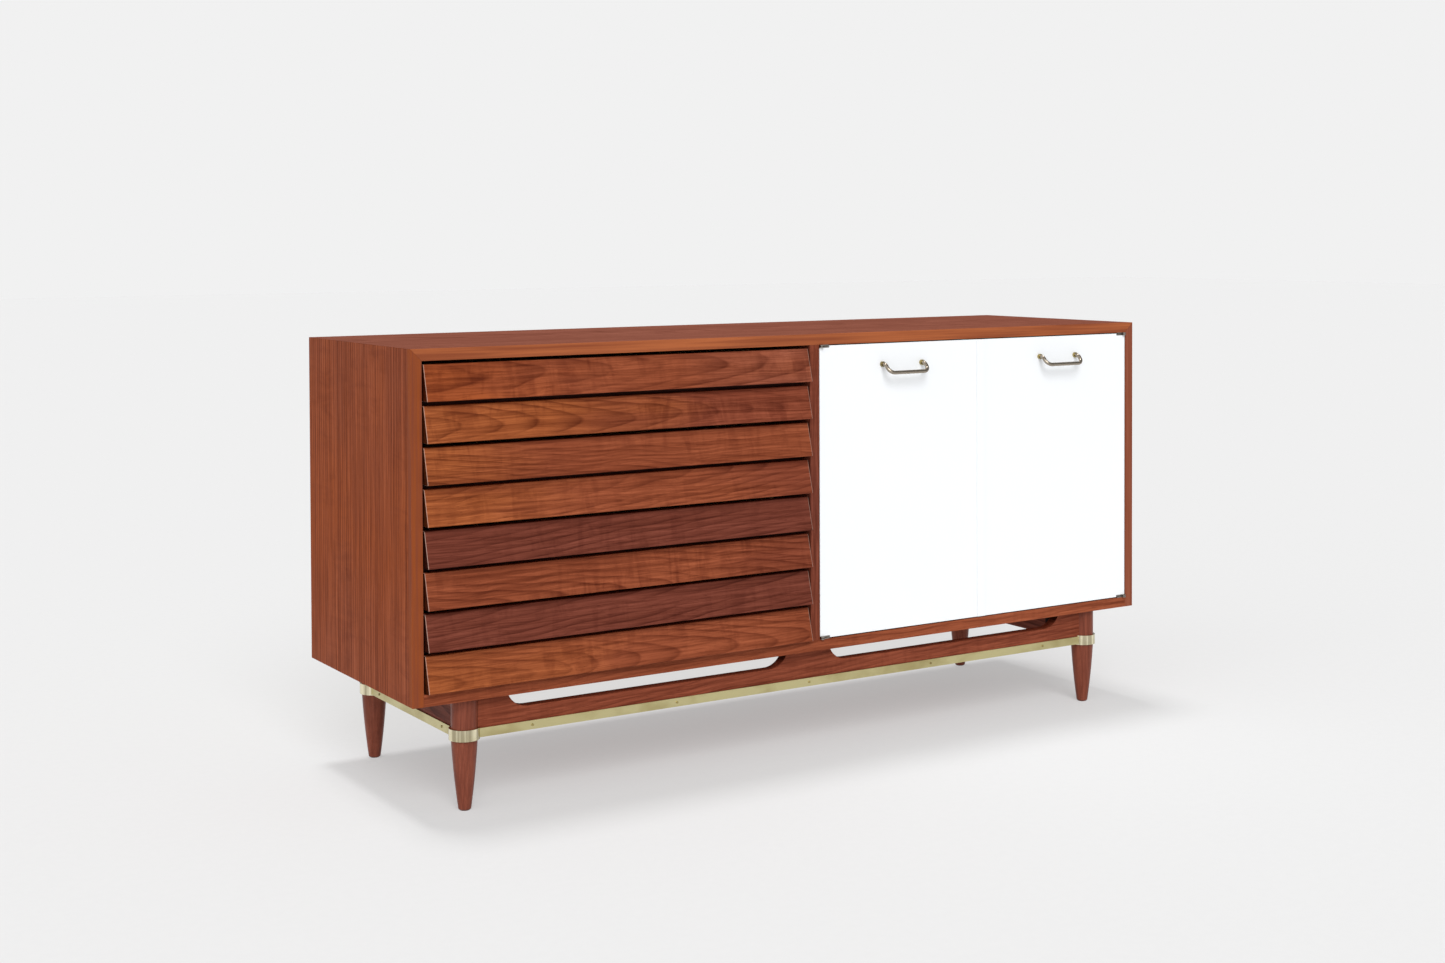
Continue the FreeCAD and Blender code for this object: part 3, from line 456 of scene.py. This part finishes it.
# Each louvre is its own board: its tones from left to right, how far its log's pith lies above
# its middle, how dense its rings are, and how strongly it is mottled.
# A tone that turns rosy towards a louvre's right end is partly the board's own and partly the sheen seen
# there at a low angle, painted in.
SLAT_BOARDS = [
    {"tones": (ORANGE, CHESTNUT, CHESTNUT, ROSY), "pith_rise": 0.030, "rings": 90, "mottle": 0.7},
    {"tones": (GOLDEN, GOLDEN, RUSSET, RUSSET), "pith_rise": 0.012, "rings": 130, "mottle": 0.7},
    {"tones": (GOLDEN, CHESTNUT, CHESTNUT, CHESTNUT), "pith_rise": -0.040, "rings": 110, "mottle": 0.5},
    {"tones": (GOLDEN, CHESTNUT, CHESTNUT, RUSSET), "pith_rise": 0.060, "rings": 120, "mottle": 0.4},
    {"tones": (PLUM, PLUM), "pith_rise": 0.120, "rings": 90, "mottle": 0.4},
    {"tones": (CHESTNUT, CHESTNUT, CHESTNUT, RUSSET), "pith_rise": -0.020, "rings": 100, "mottle": 0.7},
    {"tones": (PLUM, PLUM), "pith_rise": 0.090, "rings": 90, "mottle": 0.4},
    {"tones": (GOLDEN, CHESTNUT, CHESTNUT), "pith_rise": 0.000, "rings": 120, "mottle": 0.5},
]


def dress_slats():
    """One material for each louvre, from the top down."""
    names = [f"{drawer}_{half}_slat" for drawer in DRAWERS for half in ("upper", "lower")]
    for number, (name, board) in enumerate(zip(names, SLAT_BOARDS), start=1):
        low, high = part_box(name)
        pith = (low.y - 0.02, (low.z + high.z) / 2 + board["pith_rise"])
        # The louvres get a painted highlight along the arris towards their ends.
        shader = walnut(
            f"slat_walnut_{number}", board["tones"], reach=(low.x, high.x), pith=pith,
            rings=board["rings"], mottle=board["mottle"], arris_highlight=0.45, seed=float(number),
        )
        dress(name, shader.material)
        ease_edges(name, SLAT_EDGE_RADIUS)


def dress_case():
    """Top, sides, bottom, divider and the shelf inside."""
    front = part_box("top_panel")[0].y
    # The top has no gloss of its own; the sheen on it is painted into its tone.
    top = walnut("top_walnut", (TOP_TONE_WITH_PAINTED_SHEEN, TOP_TONE_WITH_PAINTED_SHEEN), pith=(0.1, 0.6), rings=60, ring_depth=0.4, streak_depth=0.5,
                 mottle=0.3, specular=0.0, seed=2.0)
    solid_edging(top, AMBER, CHESTNUT, "X", front + EDGE_RADIUS)
    dress("top_panel", top.material)
    sides = ("left_side_panel", "right_side_panel")
    for number, (name, edge_tone) in enumerate(zip(sides, (ORANGE, ROSY))):
        side = walnut(f"{name}_walnut", (CHESTNUT, ORANGE, CHESTNUT), grain="Z", reach=(0.2, 0.8),
                      pith=(-1.0, 0.83), rings=95, taper=0.015, swirl=0.01, mottle=0.35,
                      specular=0.02, seed=4.0 + number)
        solid_edging(side, edge_tone, RUSSET, "Z", front + SOLID_EDGING)
        dress(name, side.material)
    divider = walnut("divider_walnut", (RUSSET, PLUM, RUSSET), grain="Z", reach=(0.2, 0.8), ring_depth=0.4,
                     seed=7.0, mottle=0.3)
    dress("divider_panel", divider.material)
    bottom = walnut("bottom_walnut", (CHESTNUT, CHESTNUT), ring_depth=0.4, seed=8.0, mottle=0.3)
    dress("bottom_panel", bottom.material)
    dress("shelf", bottom.material)
    for name in ("top_panel", *sides, "divider_panel", "bottom_panel", "shelf"):
        ease_edges(name, EDGE_RADIUS * 0.6)


def dress_base():
    """Legs and rails in a darker cut of the same wood, the back rail near black as painted shade, and the
    brass on them.
    """
    for number, place in enumerate(("front_left", "front_right", "back_left", "back_right")):
        leg = walnut(f"{place}_leg_walnut", (LEG_BROWN, LEG_BROWN), grain="Z", rings=120, swirl=0.01,
                     ring_depth=0.4, streak_depth=0.5, mottle=0.3, specular=0.14, roughness=0.28,
                     seed=10.0 + number)
        dress(f"{place}_leg", leg.material)
    # The back rail's near black is painted shade.
    for number, (name, tone) in enumerate((("front_rail", RUSSET), ("back_rail", PAINTED_SHADE_BROWN))):
        rail = walnut(f"{name}_walnut", (tone, tone), grain="X", mottle=0.4, seed=15.0 + number)
        dress(name, rail.material)
        ease_edges(name)
    for number, name in enumerate(("left_rail", "right_rail")):
        rail = walnut(f"{name}_walnut", (UMBER, UMBER), grain="Y", mottle=0.3, seed=18.0 + number)
        dress(name, rail.material)
    strap = brass("strap_brass", PALE_BRASS, DULL_BRASS, 0.26)
    dress("front_strap", strap)
    dress("side_straps", strap)
    # The leg bands get the painted reflection lines.
    dress("leg_bands", brass("band_brass", BRIGHT_BRASS, PALE_BRASS, 0.1, reflection_stripes=0.6))
    dress("strap_nails", brass("nail_brass", DULL_BRASS, DARK_BRASS, 0.3))


def dress_drawer_boxes():
    """Pale drawer boards with the grain along each of them, behind fronts dressed near black as painted
    shade, which the base blocks get too.
    """
    ends = pale_wood("drawer_wood_across", *END_BOARDS, grain="X", seed=1.0)
    sides = pale_wood("drawer_wood_deep", *SIDE_BOARDS, grain="Y", seed=2.0)
    plywood = pale_wood("plywood", *PLYWOOD, grain="X", seed=3.0, clouding=0.5)
    painted_shade = walnut("stained_drawer_front", (PAINTED_SHADE_BROWN, PAINTED_SHADE_BROWN), seed=9.0)
    for drawer in DRAWERS:
        dress(f"{drawer}_box_front", painted_shade.material)
        dress(f"{drawer}_box_back", ends)
        dress(f"{drawer}_sides", sides)
        dress(f"{drawer}_bottom", plywood)
    dress("drawer_runners", sides)
    dress("base_blocks", painted_shade.material)
    dress("back_panel", plywood)


def dress_doors():
    """White doors, the strip where they meet, and their pulls."""
    lacquer, wire = white_lacquer(), nickel()
    collar = brass("collar_brass", DULL_BRASS, DARK_BRASS, 0.25)
    for side in ("left", "right"):
        dress(f"{side}_door", lacquer)
        ease_edges(f"{side}_door", EDGE_RADIUS / 2)
        dress(f"{side}_pull", wire)
        dress(f"{side}_pull_collars", collar)
    dress("meeting_strip", lacquer)
    ease_edges("meeting_strip", EDGE_RADIUS)


def dress_fittings():
    """Hinges, screws, catches and shelf pins."""
    metal = steel()
    for side in ("left", "right"):
        dress(f"{side}_pull_screws", metal)
        dress(f"{side}_hinge_leaves", metal)
    for node in ("case_hinge_leaves", "door_catches", "shelf_pins", "base_screws"):
        dress(node, metal)


# Studio

def make_floor():
    mesh = bpy.data.meshes.new("floor")
    shape = bmesh.new()
    bmesh.ops.create_grid(shape, x_segments=1, y_segments=1, size=FLOOR_REACH)
    shape.to_mesh(mesh)
    shape.free()
    floor = bpy.data.objects.new("floor", mesh)
    mesh.materials.append(studio_paper())
    bpy.context.collection.objects.link(floor)


def soft_sun(name, elevation, azimuth, power, spread):
    """A broad, even light from far away. Azimuth 0 comes from the front and 90 from the left."""
    light = bpy.data.lights.new(name, "SUN")
    light.energy = power
    light.angle = math.radians(spread)
    lamp = bpy.data.objects.new(name, light)
    lamp.rotation_euler = (math.radians(90 - elevation), 0, math.radians(-azimuth))
    bpy.context.collection.objects.link(lamp)


def studio_glow(tree):
    """How bright the surroundings are in each direction: even, and brighter in a broad softbox."""
    direction = tree.nodes.new("ShaderNodeTexCoord").outputs["Generated"]
    nearness = tree.nodes.new("ShaderNodeVectorMath")
    nearness.operation = "DOT_PRODUCT"
    nearness.inputs[1].default_value = SOFTBOX_DIRECTION
    tree.links.new(direction, nearness.inputs[0])
    glow = tree.nodes.new("ShaderNodeMapRange")
    glow.interpolation_type = "SMOOTHSTEP"
    for socket, amount in zip(glow.inputs[1:], (*SOFTBOX_EDGE, ROOM_GLOW, SOFTBOX_GLOW)):
        socket.default_value = amount
    tree.links.new(nearness.outputs["Value"], glow.inputs["Value"])
    return glow.outputs["Result"]


def light_studio():
    """White surroundings with a softbox at the front left, an overhead light and a light from the front."""
    world = bpy.data.worlds.new("studio")
    world.use_nodes = True
    tree = world.node_tree
    surroundings = tree.nodes["Background"]
    surroundings.inputs["Color"].default_value = (1, 1, 1, 1)
    tree.links.new(studio_glow(tree), surroundings.inputs["Strength"])
    backdrop = tree.nodes.new("ShaderNodeBackground")
    backdrop.inputs["Color"].default_value = srgb(*BACKDROP)
    seen = tree.nodes.new("ShaderNodeLightPath")
    blend = tree.nodes.new("ShaderNodeMixShader")
    tree.links.new(seen.outputs["Is Camera Ray"], blend.inputs["Fac"])
    for background, socket in zip((surroundings, backdrop), blend.inputs[1:]):
        tree.links.new(background.outputs["Background"], socket)
    tree.links.new(blend.outputs["Shader"], tree.nodes["World Output"].inputs["Surface"])
    bpy.context.scene.world = world
    soft_sun("overhead", elevation=80, azimuth=170, power=1.5, spread=12)
    soft_sun("front", elevation=38, azimuth=20, power=1.5, spread=32)
    bpy.context.scene.view_settings.view_transform = "Standard"


def make_camera():
    camera = bpy.data.objects.new("camera", bpy.data.cameras.new("camera"))
    camera.data.sensor_width = SENSOR_MILLIMETRES
    camera.data.lens = LENS_MILLIMETRES
    camera.data.shift_y = LENS_SHIFT
    camera.location = CAMERA_PLACE
    angles = (90 + CAMERA_PITCH, -CAMERA_ROLL, -CAMERA_YAW)
    camera.rotation_euler = [math.radians(angle) for angle in angles]
    bpy.context.collection.objects.link(camera)
    bpy.context.scene.camera = camera


dress_case()
dress_slats()
dress_base()
dress_drawer_boxes()
dress_doors()
dress_fittings()
make_floor()
light_studio()
make_camera()
